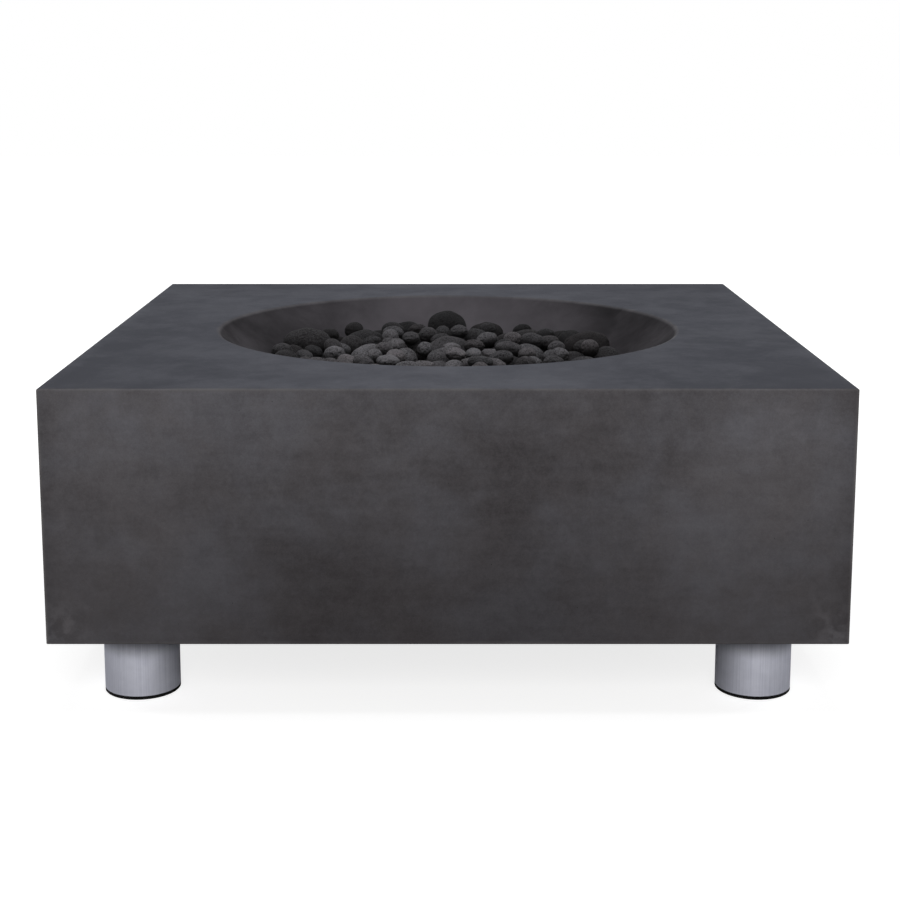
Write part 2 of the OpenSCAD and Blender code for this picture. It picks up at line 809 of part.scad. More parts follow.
concrete_shell();
leg_front_left();
leg_front_right();
leg_rear_left();
leg_rear_right();
foot_pad_front_left();
foot_pad_front_right();
foot_pad_rear_left();
foot_pad_rear_right();
leg_inserts();
leg_bolts();
leg_washers();
burner_pan();
burner_ring();
burner_lock_nut();
burner_elbow();
gas_orifice();
gas_tube();
flare_nuts();
valve_body();
valve_end_cap();
valve_seats();
valve_ball();
valve_stem();
stem_o_rings();
valve_flange();
valve_lock_nut();
inlet_elbow();
inlet_fitting();
lava_bed();
lava_stones_large();
lava_stones_lower();
lava_stones_top();
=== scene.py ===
"""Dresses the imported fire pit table: its finishes, lava stones, studio light and camera."""

import logging
import math
from dataclasses import dataclass
from enum import Enum
from typing import Any

import bpy
import numpy as np
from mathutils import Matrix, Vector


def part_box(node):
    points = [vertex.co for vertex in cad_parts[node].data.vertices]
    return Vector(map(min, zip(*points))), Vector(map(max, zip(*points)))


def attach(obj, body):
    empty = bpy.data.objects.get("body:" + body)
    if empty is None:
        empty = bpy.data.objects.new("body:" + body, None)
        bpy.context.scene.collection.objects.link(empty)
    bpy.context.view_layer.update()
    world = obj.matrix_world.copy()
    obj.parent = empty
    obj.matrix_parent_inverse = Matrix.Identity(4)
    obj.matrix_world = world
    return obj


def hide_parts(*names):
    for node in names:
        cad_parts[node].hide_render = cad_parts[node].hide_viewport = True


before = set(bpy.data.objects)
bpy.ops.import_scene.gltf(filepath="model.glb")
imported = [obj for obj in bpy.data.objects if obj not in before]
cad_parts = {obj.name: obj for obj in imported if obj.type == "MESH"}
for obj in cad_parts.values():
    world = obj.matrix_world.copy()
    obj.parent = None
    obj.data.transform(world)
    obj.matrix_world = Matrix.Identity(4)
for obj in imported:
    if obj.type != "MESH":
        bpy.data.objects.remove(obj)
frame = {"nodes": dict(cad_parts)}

LOG = logging.getLogger("fire_pit_table")
TABLE_BODY = "table"
GOLDEN_TURN = math.pi * (3 - math.sqrt(5))
Colour = tuple[float, float, float]
Place = tuple[float, float, float]
Pair = tuple[float, float]
# The four numbers of a span: from low, from high, to low, to high
Ramp = tuple[float, float, float, float]
Socket = bpy.types.NodeSocket


class Wiring:
    """Adds nodes to one shader tree and joins their sockets."""

    def __init__(self, tree: bpy.types.NodeTree) -> None:
        """Keeps the tree that the nodes go into."""
        self.tree = tree

    def feed(self, socket: Socket, value: Any) -> None:
        """Joins an output to the socket, or sets the socket's own value.

        Args:
            socket: the input that is fed.
            value: an output, a number, a vector or a colour.
        """
        if isinstance(value, bpy.types.NodeSocket):
            self.tree.links.new(value, socket)
        elif socket.type == "RGBA" and len(value) == 3:
            socket.default_value = (*value, 1.0)
        else:
            socket.default_value = value

    def add(self, kind: str, feeds: dict[Any, Any] | None = None, **settings: Any) -> bpy.types.Node:
        """Adds one node.

        Args:
            kind: the node type, without its common prefix.
            feeds: socket name or number, to a value or an output.
            settings: the node's own options.

        Returns:
            The node.
        """
        node = self.tree.nodes.new("ShaderNode" + kind)
        for name, value in settings.items():
            setattr(node, name, value)
        for key, value in (feeds or {}).items():
            self.feed(node.inputs[key], value)
        return node

    def maths(self, operation: str, first: Any, second: Any = 0.0, third: Any = 0.0) -> Socket:
        """Gives the result of one sum on numbers or outputs."""
        return self.add("Math", {0: first, 1: second, 2: third}, operation=operation).outputs[0]

    def times(self, first: Any, second: Any) -> Socket:
        """Multiplies two numbers or outputs."""
        return self.maths("MULTIPLY", first, second)

    def span(self, value: Any, low: Any, high: Any, to_low: Any = 0.0, to_high: Any = 1.0) -> Socket:
        """Carries low to high smoothly over to to_low to to_high, and holds the ends."""
        feeds = {"Value": value, "From Min": low, "From Max": high, "To Min": to_low, "To Max": to_high}
        return self.add("MapRange", feeds, interpolation_type="SMOOTHSTEP").outputs[0]

    def mix(self, share: Any, first: Any, second: Any, blend: str = "MIX") -> Socket:
        """Mixes two colours by a share of the second."""
        feeds = {0: share, 6: first, 7: second}
        return self.add("Mix", feeds, data_type="RGBA", blend_type=blend).outputs[2]

    def noise(self, vector: Socket, scale: Any, detail: float = 3.0, roughness: float = 0.55) -> Socket:
        """Gives smooth noise from 0 to 1 with so many waves to the metre."""
        feeds = {"Vector": vector, "Scale": scale, "Detail": detail, "Roughness": roughness}
        return self.add("TexNoise", feeds).outputs[0]

    def stretch(self, vector: Socket, by: Any) -> Socket:
        """Multiplies a place by one number for each axis."""
        return self.add("VectorMath", {0: vector, 1: by}, operation="MULTIPLY").outputs[0]

    def resize(self, vector: Socket, by: Any) -> Socket:
        """Multiplies a place by one number."""
        return self.add("VectorMath", {0: vector, "Scale": by}, operation="SCALE").outputs[0]

    def radius(self, vector: Socket) -> Socket:
        """Gives the distance of a place from the upright line through the origin."""
        flat = self.stretch(vector, (1.0, 1.0, 0.0))
        return self.add("VectorMath", {0: flat}, operation="LENGTH").outputs["Value"]

    def axes(self, vector: Socket) -> Any:
        """Gives the three parts of a place or a direction."""
        return self.add("SeparateXYZ", {0: vector}).outputs

    def upward(self) -> Socket:
        """Gives how far the surface faces up, from -1 to 1."""
        return self.axes(self.add("NewGeometry").outputs["Normal"])[2]

    def bump(self, height: Socket, strength: float, distance: float) -> Socket:
        """Gives a normal that follows a height of so many metres."""
        return self.add("Bump", {"Height": height, "Strength": strength, "Distance": distance}).outputs[0]


class Effect(Enum):
    """The surface effects that the finishes place."""

    CLOUD = "cloudy_mottle"
    PORES = "open_pores"
    LINES = "brush_lines"
    EDGES = "rubbed_edges"
    GRIT = "fine_grit"


class Effects:
    """Shader node groups, each built once and placed with its own values."""

    cloud_contrast: Pair = (0.3, 0.7)
    pore_sizes: Pair = (0.5, 1.0)
    pore_wall: Ramp = (0.35, 1.0, 1.0, 0.0)
    band_scale: float = 0.13
    line_share: float = 0.55
    band_share: float = 0.45
    grit_contrast: Pair = (0.25, 0.75)

    def __init__(self) -> None:
        """Builds every group."""
        self.trees = {
            Effect.CLOUD: self._cloud(),
            Effect.PORES: self._pores(),
            Effect.LINES: self._lines(),
            Effect.EDGES: self._edges(),
            Effect.GRIT: self._grit(),
        }

    def place(self, wiring: Wiring, effect: Effect, **values: Any) -> Socket:
        """Puts a group into a finish.

        Args:
            wiring: the finish's tree.
            effect: which group.
            values: the group's inputs by name.

        Returns:
            The group's one output.
        """
        node = wiring.add("Group", node_tree=self.trees[effect])
        for name, value in values.items():
            wiring.feed(node.inputs[name], value)
        return node.outputs[0]

    @staticmethod
    def _start(effect: Effect, output: str, **inputs: float) -> tuple[Wiring, Any, Socket]:
        """Opens a group with a Place input, the number inputs given and one output.

        Args:
            effect: the effect that names the group.
            output: the output's name.
            inputs: number inputs and what they are when left alone.

        Returns:
            The wiring, the entry's outputs and the socket that the result goes to.
        """
        tree = bpy.data.node_groups.new(effect.value, "ShaderNodeTree")
        tree.interface.new_socket("Place", in_out="INPUT", socket_type="NodeSocketVector")
        for name, value in inputs.items():
            made = tree.interface.new_socket(name, in_out="INPUT", socket_type="NodeSocketFloat")
            made.default_value = value
        tree.interface.new_socket(output, in_out="OUTPUT", socket_type="NodeSocketFloat")
        entry = tree.nodes.new("NodeGroupInput")
        leave = tree.nodes.new("NodeGroupOutput")
        return Wiring(tree), entry.outputs, leave.inputs[0]

    def _cloud(self) -> bpy.types.NodeTree:
        """Soft patches: noise read at a place that a plainer noise has pushed about.

        Returns:
            The group.
        """
        wiring, entry, leave = self._start(Effect.CLOUD, "Tone", Scale=5.0, Push=0.5)
        feeds = {"Vector": entry["Place"], "Scale": entry["Scale"], "Detail": 2.0}
        pushed = wiring.add("TexNoise", feeds).outputs["Color"]
        sized = wiring.resize(entry["Place"], entry["Scale"])
        shift = wiring.resize(pushed, entry["Push"])
        place = wiring.add("VectorMath", {0: sized, 1: shift}, operation="ADD").outputs[0]
        tone = wiring.noise(place, 1.0, detail=5.0, roughness=0.6)
        wiring.feed(leave, wiring.span(tone, *self.cloud_contrast))
        return wiring.tree

    def _pores(self) -> bpy.types.NodeTree:
        """Round holes: near a cell's middle, in the share of cells that have one.

        Returns:
            The group.
        """
        wiring, entry, leave = self._start(Effect.PORES, "Depth", Scale=100.0, Size=0.3, Share=0.5)
        cells = wiring.add("TexVoronoi", {"Vector": entry["Place"], "Scale": entry["Scale"]})
        chance = wiring.add("SeparateColor", {0: cells.outputs["Color"]})
        chosen = wiring.maths("LESS_THAN", chance.outputs[0], entry["Share"])
        size = wiring.times(entry["Size"], wiring.span(chance.outputs[1], 0.0, 1.0, *self.pore_sizes))
        hole = wiring.span(wiring.maths("DIVIDE", cells.outputs["Distance"], size), *self.pore_wall)
        wiring.feed(leave, wiring.times(hole, chosen))
        return wiring.tree

    def _lines(self) -> bpy.types.NodeTree:
        """Brush lines: fine noise drawn out along Z, with a slower set of bands over it.

        Returns:
            The group.
        """
        wiring, entry, leave = self._start(Effect.LINES, "Tone", Scale=900.0, Draw=0.01)
        drawn = wiring.add("CombineXYZ", {0: 1.0, 1: 1.0, 2: entry["Draw"]}).outputs[0]
        place = wiring.stretch(entry["Place"], drawn)
        fine = wiring.noise(place, entry["Scale"], detail=2.0, roughness=0.7)
        bands = wiring.noise(place, wiring.times(entry["Scale"], self.band_scale))
        lines = wiring.times(fine, self.line_share)
        wiring.feed(leave, wiring.maths("MULTIPLY_ADD", bands, self.band_share, lines))
        return wiring.tree

    def _edges(self) -> bpy.types.NodeTree:
        """A block's edges: where the middle one of the three distances to its faces is small.

        Returns:
            The group.
        """
        wiring, entry, leave = self._start(Effect.EDGES, "Mask", Half=0.5, Low=0.0, High=0.4, Band=0.005)
        axes = wiring.axes(entry["Place"])
        side = [wiring.maths("SUBTRACT", entry["Half"], wiring.maths("ABSOLUTE", axes[i])) for i in (0, 1)]
        below = wiring.maths("SUBTRACT", axes[2], entry["Low"])
        level = wiring.maths("MINIMUM", below, wiring.maths("SUBTRACT", entry["High"], axes[2]))
        inner = wiring.maths("MINIMUM", wiring.maths("MAXIMUM", *side), level)
        middle = wiring.maths("MAXIMUM", wiring.maths("MINIMUM", *side), inner)
        wiring.feed(leave, wiring.span(middle, 0.0, entry["Band"], 1.0, 0.0))
        return wiring.tree

    def _grit(self) -> bpy.types.NodeTree:
        """Sand in a face: fine noise with its middle values spread out.

        Returns:
            The group.
        """
        wiring, entry, leave = self._start(Effect.GRIT, "Tone", Scale=700.0)
        fine = wiring.noise(entry["Place"], entry["Scale"], roughness=0.8)
        wiring.feed(leave, wiring.span(fine, *self.grit_contrast))
        return wiring.tree


@dataclass(frozen=True)
class Finish:
    """What every finish has: a slot in the record, and a shader that its wire method feeds."""

    slot: str
    roughness: float
    metallic: float = 0.0
    specular: float = 0.5
    ior: float = 1.5
    tint: Colour = (1.0, 1.0, 1.0)
    dulling: Pair = (-0.06, 0.06)

    def build(self, effects: Effects) -> bpy.types.Material:
        """Makes the material.

        Args:
            effects: the shared node groups.

        Returns:
            The finished material.
        """
        material = bpy.data.materials.new(self.slot + "_finish")
        material.use_nodes = True
        shader = material.node_tree.nodes["Principled BSDF"]
        shader.inputs["Roughness"].default_value = self.roughness
        shader.inputs["Metallic"].default_value = self.metallic
        shader.inputs["Specular IOR Level"].default_value = self.specular
        shader.inputs["IOR"].default_value = self.ior
        shader.inputs["Specular Tint"].default_value = (*self.tint, 1.0)
        wiring = Wiring(material.node_tree)
        place = wiring.add("TexCoord").outputs["Object"]
        self.wire(wiring, effects, place, shader.inputs)
        return material

    def wire(self, wiring: Wiring, effects: Effects, place: Socket, shader: Any) -> None:
        """Feeds the shader; each kind of finish has its own.

        Args:
            wiring: the material's tree.
            effects: the shared node groups.
            place: the Object coordinates.
            shader: the shader's inputs.
        """
        raise NotImplementedError

    def dulled(self, wiring: Wiring, value: Socket, low: float = 0.0, high: float = 1.0) -> Socket:
        """Gives a roughness about the finish's own, which follows a value from low to high."""
        return wiring.span(value, low, high, *(self.roughness + end for end in self.dulling))


class ConcreteFace:
    """The concrete's clouds of every size, its axes and its distances."""

    def __init__(self, wiring: Wiring, effects: Effects, place: Socket, half: float) -> None:
        """Places the clouds and takes the distances.

        Args:
            wiring: the material's tree.
            effects: the shared node groups.
            place: the Object coordinates.
            half: half the block's width.
        """
        trowelled = wiring.stretch(place, (0.4, 0.4, 2.6))
        self.broad = effects.place(wiring, Effect.CLOUD, Place=place, Scale=3.2, Push=0.9)
        self.middle = effects.place(wiring, Effect.CLOUD, Place=place, Scale=11.0, Push=0.7)
        self.stroke = effects.place(wiring, Effect.CLOUD, Place=trowelled, Scale=24.0, Push=0.4)
        self.fine = effects.place(wiring, Effect.CLOUD, Place=place, Scale=45.0, Push=0.8)
        self.speck = effects.place(wiring, Effect.GRIT, Place=place, Scale=170.0)
        self.grit = effects.place(wiring, Effect.GRIT, Place=place, Scale=520.0)
        self.holes = effects.place(wiring, Effect.PORES, Place=place, Scale=70.0, Size=0.07, Share=0.12)
        self.axes = wiring.axes(place)
        self.aside, along = (wiring.maths("ABSOLUTE", self.axes[i]) for i in (0, 1))
        to_sides = [wiring.maths("SUBTRACT", half, way) for way in (self.aside, along)]
        self.to_upright = wiring.maths("MAXIMUM", *to_sides)
        self.radius = wiring.radius(place)


@dataclass(frozen=True)
class ConcreteFinish(Finish):
    """Charcoal cast concrete: cloudy sides, darker towards the foot partly as painted shade, an even top with
    a painted cool sheen, a darker bowl with painted light along its middle and painted shade at its sides,
    worn edges, a painted highlight on the bowl's lip, and pinholes.
    """

    dulling: Pair = (0.08, -0.06)
    side: tuple[Colour, Colour] = ((0.044, 0.0405, 0.043), (0.203, 0.198, 0.213))
    # The top's own pair: partly the concrete's top, partly a painted cool reflection in its bluer tint
    top: tuple[Colour, Colour] = ((0.060, 0.062, 0.073), (0.126, 0.129, 0.149))
    # The bowl's pair: its dark end, at the sides, is painted shade, and its pale end, along the middle line,
    # is painted light
    bowl: tuple[Colour, Colour] = ((0.0165, 0.0155, 0.0168), (0.104, 0.096, 0.106))
    warm: Colour = (1.015, 0.995, 0.985)
    cool: Colour = (0.985, 0.998, 1.025)
    # Wear on the edges, and the painted highlight on the bowl's lip
    rubbed: Colour = (0.135, 0.128, 0.128)
    # Chafing and a painted highlight on the upright corners
    chafed_and_edge_highlight: Colour = (0.23, 0.22, 0.222)
    hole: Colour = (0.012, 0.012, 0.012)
    half: float = 0.5335
    low: float = 0.099
    high: float = 0.445
    bowl_radius: float = 0.367
    cloud_shares: tuple[tuple[str, float], ...] = (
        ("broad", 0.16), ("middle", 0.13), ("stroke", 0.06), ("fine", 0.09), ("speck", 0.08), ("grit", 0.10))
    cloud_strength: Pair = (0.55, 1.2)
    foot_tone: float = 0.115
    # How much paler the sides grow from foot to top: partly the concrete's own tone, partly painted shade
    # towards the foot
    painted_shade_rise: float = 0.28
    rise_start: float = 0.02
    flank: Pair = (0.10, 0.44)
    flank_edge: float = 0.03
    flank_edge_share: float = 0.4
    flank_pale: float = 0.165
    scuff: Ramp = (0.004, 0.075, 0.28, 0.0)
    scuff_clouds: Pair = (0.1, 1.0)
    level: Pair = (0.75, 0.98)
    # How far the top's flanks are darkened, more towards the front, so that its front middle stands out as a
    # painted sheen
    painted_sheen_flank: Ramp = (-0.5, 0.1, -0.42, -0.2)
    bowl_edge: Pair = (-0.006, 0.002)
    # Paler towards the middle line: painted light on the bowl's back wall
    bowl_painted_light: Ramp = (0.03, 0.3, 0.6, 0.0)
    bowl_broad: float = 0.25
    bowl_middle: float = 0.22
    edge_band: float = 0.006
    # A band round the bowl's lip that takes a painted highlight
    lip_highlight_band: Ramp = (0.0, 0.005, 0.6, 0.0)
    edge_wear_and_lip_highlight: Ramp = (0.2, 0.9, 0.25, 0.75)
    upright_band: Ramp = (0.0005, 0.004, 1.0, 0.0)
    upright_wear_and_highlight: Ramp = (0.1, 0.9, 0.35, 0.75)
    hole_shade: float = 0.6
    grit_relief: float = 0.12
    stroke_relief: float = 0.35
    relief: Pair = (0.35, 0.0008)

    def wire(self, wiring: Wiring, effects: Effects, place: Socket, shader: Any) -> None:
        """The sides get their colour first, the top with its painted sheen and the bowl with its painted
        light and shade are laid over it, and wear and painted highlights over all.

        Args:
            wiring: the material's tree.
            effects: the shared node groups.
            place: the Object coordinates.
            shader: the shader's inputs.
        """
        face = ConcreteFace(wiring, effects, place, self.half)
        block = {"Half": self.half, "Low": self.low, "High": self.high, "Band": self.edge_band}
        edge = effects.place(wiring, Effect.EDGES, Place=place, **block)
        tone = self.tone(wiring, face)
        near_end = wiring.span(face.aside, self.half - self.flank_edge, self.half, 1.0, self.flank_edge_share)
        flank = wiring.times(wiring.span(face.aside, *self.flank), near_end)
        colour = self.side_colour(wiring, face, wiring.maths("MULTIPLY_ADD", flank, self.flank_pale, tone))
        # Painted sheen: the top's flanks are darkened, more towards the front, which leaves its front middle
        # lighter
        painted_sheen_dimming = wiring.span(face.axes[1], *self.painted_sheen_flank)
        top = wiring.mix(wiring.maths("MULTIPLY_ADD", flank, painted_sheen_dimming, tone), *self.top)
        # Faces that turn up take the top's pair, whose bluer tint is partly a painted cool reflection
        colour = wiring.mix(wiring.span(wiring.upward(), *self.level), colour, top)
        colour = self.with_bowl(wiring, face, colour)
        colour = self.worn(wiring, face, edge, colour)
        colour = wiring.mix(wiring.times(face.holes, self.hole_shade), colour, self.hole)
        wiring.feed(shader["Base Color"], colour)
        wiring.feed(shader["Roughness"], self.dulled(wiring, face.middle))
        strokes = wiring.times(face.stroke, self.stroke_relief)
        height = wiring.maths("MULTIPLY_ADD", face.grit, self.grit_relief, strokes)
        height = wiring.maths("SUBTRACT", height, face.holes)
        wiring.feed(shader["Normal"], wiring.bump(height, *self.relief))

    def tone(self, wiring: Wiring, face: ConcreteFace) -> Socket:
        """Gives a tone that rises with the height, partly as painted shade towards the foot, plus clouds that
        fade towards the foot.

        Args:
            wiring: the material's tree.
            face: the clouds and distances.

        Returns:
            The tone, about 0 to 1.
        """
        clouds: Any = 0.0
        for name, share in self.cloud_shares:
            swing = wiring.maths("SUBTRACT", getattr(face, name), 0.5)
            clouds = wiring.maths("MULTIPLY_ADD", swing, share, clouds)
        height = face.axes[2]
        # Darker towards the foot: partly painted shade that stands in for less light low on the sides
        painted_shade_risen = wiring.span(height, self.low - self.rise_start, self.high)
        tone = wiring.maths("MULTIPLY_ADD", painted_shade_risen, self.painted_shade_rise, self.foot_tone)
        strength = wiring.span(height, self.low, self.high, *self.cloud_strength)
        return wiring.maths("MULTIPLY_ADD", clouds, strength, tone)

    def side_colour(self, wiring: Wiring, face: ConcreteFace, tone: Socket) -> Socket:
        """Mixes the sides' pair by the tone, with scuffs at the lower corners and a slow change of hue.

        Args:
            wiring: the material's tree.
            face: the clouds and distances.
            tone: the sides' tone.

        Returns:
            The sides' colour.
        """
        over_foot = wiring.maths("SUBTRACT", face.axes[2], self.low)
        corner = wiring.maths("MAXIMUM", face.to_upright, over_foot)
        scuff = wiring.times(wiring.span(corner, *self.scuff), wiring.span(face.fine, *self.scuff_clouds))
        colour = wiring.mix(wiring.maths("ADD", tone, scuff), *self.side)
        return wiring.mix(1.0, colour, wiring.mix(face.middle, self.warm, self.cool), "MULTIPLY")

    def with_bowl(self, wiring: Wiring, face: ConcreteFace, colour: Socket) -> Socket:
        """Lays the bowl's own pair over what is inside its rim, paler towards the middle line as painted
        light and darker at the sides as painted shade.

        Args:
            wiring: the material's tree.
            face: the clouds and distances.
            colour: the colour so far.

        Returns:
            The colour with the bowl.
        """
        inside = wiring.span(face.radius, *(self.bowl_radius + end for end in self.bowl_edge), 1.0, 0.0)
        # Painted light along the bowl's middle line and painted shade at its sides, with clouds of the
        # concrete's own tone
        pale = wiring.span(face.aside, *self.bowl_painted_light)
        pale = wiring.maths("MULTIPLY_ADD", face.broad, self.bowl_broad, pale)
        pale = wiring.maths("MULTIPLY_ADD", face.middle, self.bowl_middle, pale)
        return wiring.mix(inside, colour, wiring.mix(pale, *self.bowl))

    def worn(self, wiring: Wiring, face: ConcreteFace, edge: Socket, colour: Socket) -> Socket:
        """Rubs the edges, paints a highlight on the bowl's lip, and chafes the upright corners, partly as a
        painted highlight, more in some clouds.

        Args:
            wiring: the material's tree.
            face: the clouds and distances.
            edge: the mask of the block's edges.
            colour: the colour so far.

        Returns:
            The worn colour, with its painted highlights.
        """
        off_lip = wiring.maths("ABSOLUTE", wiring.maths("SUBTRACT", face.radius, self.bowl_radius))
        # The block's edges are wear; the band round the bowl's lip is a painted highlight
        edges = wiring.maths("MAXIMUM", edge, wiring.span(off_lip, *self.lip_highlight_band))
        rub_and_lip_highlight = wiring.times(edges, wiring.span(face.middle, *self.edge_wear_and_lip_highlight))
        colour = wiring.mix(rub_and_lip_highlight, colour, self.rubbed)
        # Upright corners: partly chafed, partly a painted highlight where the bevel catches light
        upright = wiring.span(face.to_upright, *self.upright_band)
        chafe_and_edge_highlight = wiring.times(upright, wiring.span(face.middle, *self.upright_wear_and_highlight))
        return wiring.mix(chafe_and_edge_highlight, colour, self.chafed_and_edge_highlight)


@dataclass(frozen=True)
class Pores:
    """One size of pore: cells to the metre, a hole's size in its cell, the share with one, and its depth."""

    scale: float
    size: float
    share: float
    depth: float


@dataclass(frozen=True)
class LavaFinish(Finish):
    """Porous lava: each stone its own tone, pitted all over, with painted light on its upper faces and
    painted shade below and in the gaps.
    """

    dulling: Pair = (-0.08, 0.06)
    # Tone by how far a face turns up: painted light on top and painted shade underneath
    painted_facing_shade: Ramp = (-0.5, 0.9, 0.05, 1.6)
    dark: Colour = (0.009, 0.0088, 0.0092)
    light: Colour = (0.180, 0.176, 0.188)
    warm: Colour = (1.05, 0.97, 0.955)
    hollow: Colour = (0.003, 0.003, 0.003)
    hollow_shade: float = 0.7
    plain_tone: float = 0.1
    cloud_tone: float = 0.4
    grit_tone: float = 1.1
    loose_grit: float = 0.1
    pores: tuple[Pores, ...] = (
        Pores(135.0, 0.29, 0.36, 1.0),
        Pores(430.0, 0.48, 0.6, 0.75),
        Pores(860.0, 0.5, 0.6, 0.6),
    )
    cloud_relief: float = 0.3
    grit_relief: float = 0.5
    relief: Pair = (1.0, 0.0014)

    def wire(self, wiring: Wiring, effects: Effects, place: Socket, shader: Any) -> None:
        """Tone is the stone's own number times its speckle, lighter facing up and darker facing down as
        painted light and shade; painted shade darkens the gaps, and pores of three sizes darken and dent it.

        Args:
            wiring: the material's tree.
            effects: the shared node groups.
            place: the Object coordinates.
            shader: the shader's inputs.
        """
        own, warmth, clean = (
            wiring.add("Attribute", attribute_name="stone_" + name).outputs["Fac"]
            for name in ("tone", "warmth", "clean"))
        cloud = effects.place(wiring, Effect.CLOUD, Place=place, Scale=45.0, Push=0.6)
        grit = effects.place(wiring, Effect.GRIT, Place=place, Scale=420.0)
        speckle = wiring.maths("MULTIPLY_ADD", cloud, self.cloud_tone, self.plain_tone)
        speckle = wiring.maths("MULTIPLY_ADD", grit, self.grit_tone, speckle)
        tone = wiring.maths("MULTIPLY_ADD", grit, self.loose_grit, wiring.times(own, speckle))
        # Painted light and shade by facing: lighter tops, darker undersides
        tone = wiring.times(tone, wiring.span(wiring.upward(), *self.painted_facing_shade))
        # Painted shade in the gaps between stones darkens the tone
        colour = wiring.mix(wiring.times(tone, clean), self.dark, self.light)
        colour = wiring.mix(warmth, colour, self.warm, "MULTIPLY")
        depth: Any = 0.0
        for pore in self.pores:
            holes = effects.place(
                wiring, Effect.PORES, Place=place, Scale=pore.scale, Size=pore.size, Share=pore.share)
            depth = wiring.maths("MAXIMUM", depth, wiring.times(holes, pore.depth))
        colour = wiring.mix(wiring.times(depth, self.hollow_shade), colour, self.hollow)
        wiring.feed(shader["Base Color"], colour)
        wiring.feed(shader["Roughness"], self.dulled(wiring, grit))
        height = wiring.maths("MULTIPLY_ADD", grit, self.grit_relief, wiring.times(cloud, self.cloud_relief))
        height = wiring.maths("SUBTRACT", height, depth)
        wiring.feed(shader["Normal"], wiring.bump(height, *self.relief))


class Grain(Enum):
    """How a metal was worked: the lines' waves to the metre, and how far they are drawn out."""

    BRUSHED = (850.0, 0.006)
    ROLLED = (420.0, 0.15)
    MACHINED = (1300.0, 1.0)


@dataclass(frozen=True)
class MetalFinish(Finish):
    """Worked metal: lines or grain in its colour, gloss and bump, tarnish, and a painted shade that darkens
    it towards the top of a band of heights.
    """

    dulling: Pair = (-0.06, 0.08)
    colour: Colour = (0.6, 0.6, 0.6)
    tarnish: Colour = (0.4, 0.4, 0.4)
    grain: Grain = Grain.MACHINED
    contrast: Pair = (0.3, 0.7)
    line_share: float = 0.45
    cloud_share: float = 0.3
    cloud_dulling: float = 0.06
    # Painted shade under the block: its colour, its share, and the heights it grows over
    painted_shade_colour: Colour = (0.045, 0.045, 0.052)
    painted_shade_share: float = 0.85
    painted_shade_heights: Pair | None = None
    strength: float = 0.5
    depth: float = 0.00004

    def wire(self, wiring: Wiring, effects: Effects, place: Socket, shader: Any) -> None:
        """Lines and clouds tarnish the metal and change its roughness, and a painted shade grows with the
        height.

        Args:
            wiring: the material's tree.
            effects: the shared node groups.
            place: the Object coordinates.
            shader: the shader's inputs.
        """
        scale, draw = self.grain.value
        lines = effects.place(wiring, Effect.LINES, Place=place, Scale=scale, Draw=draw)
        cloud = effects.place(wiring, Effect.CLOUD, Place=place, Scale=30.0, Push=0.8)
        clouded = wiring.times(cloud, self.cloud_share)
        share = wiring.maths("MULTIPLY_ADD", wiring.span(lines, *self.contrast), self.line_share, clouded)
        colour = wiring.mix(share, self.colour, self.tarnish)
        if self.painted_shade_heights:
            # Painted shade: darker towards the top of the legs, where the block shades them
            painted_shade_mask = wiring.span(wiring.axes(place)[2], *self.painted_shade_heights, 0.0, self.painted_shade_share)
            colour = wiring.mix(painted_shade_mask, colour, self.painted_shade_colour)
        wiring.feed(shader["Base Color"], colour)
        dulled = self.dulled(wiring, lines, *self.contrast)
        wiring.feed(shader["Roughness"], wiring.maths("MULTIPLY_ADD", cloud, self.cloud_dulling, dulled))
        wiring.feed(shader["Normal"], wiring.bump(lines, self.strength, self.depth))


@dataclass(frozen=True)
class MouldedFinish(Finish):
    """Moulded rubber or plastic: an even colour with dust in its fine texture."""

    colour: Colour = (0.02, 0.02, 0.02)
    dust: Colour = (0.06, 0.06, 0.06)
    dust_share: Pair = (0.1, 0.45)
    relief: Pair = (0.25, 0.0001)

    def wire(self, wiring: Wiring, effects: Effects, place: Socket, shader: Any) -> None:
        """Dust lies in clouds, and fine grit gives the moulded texture.

        Args:
            wiring: the material's tree.
            effects: the shared node groups.
            place: the Object coordinates.
            shader: the shader's inputs.
        """
        cloud = effects.place(wiring, Effect.CLOUD, Place=place, Scale=40.0, Push=0.5)
        grit = effects.place(wiring, Effect.GRIT, Place=place, Scale=1500.0)
        share = wiring.times(cloud, wiring.span(grit, 0.0, 1.0, *self.dust_share))
        wiring.feed(shader["Base Color"], wiring.mix(share, self.colour, self.dust))
        wiring.feed(shader["Roughness"], self.dulled(wiring, grit))
        wiring.feed(shader["Normal"], wiring.bump(grit, *self.relief))


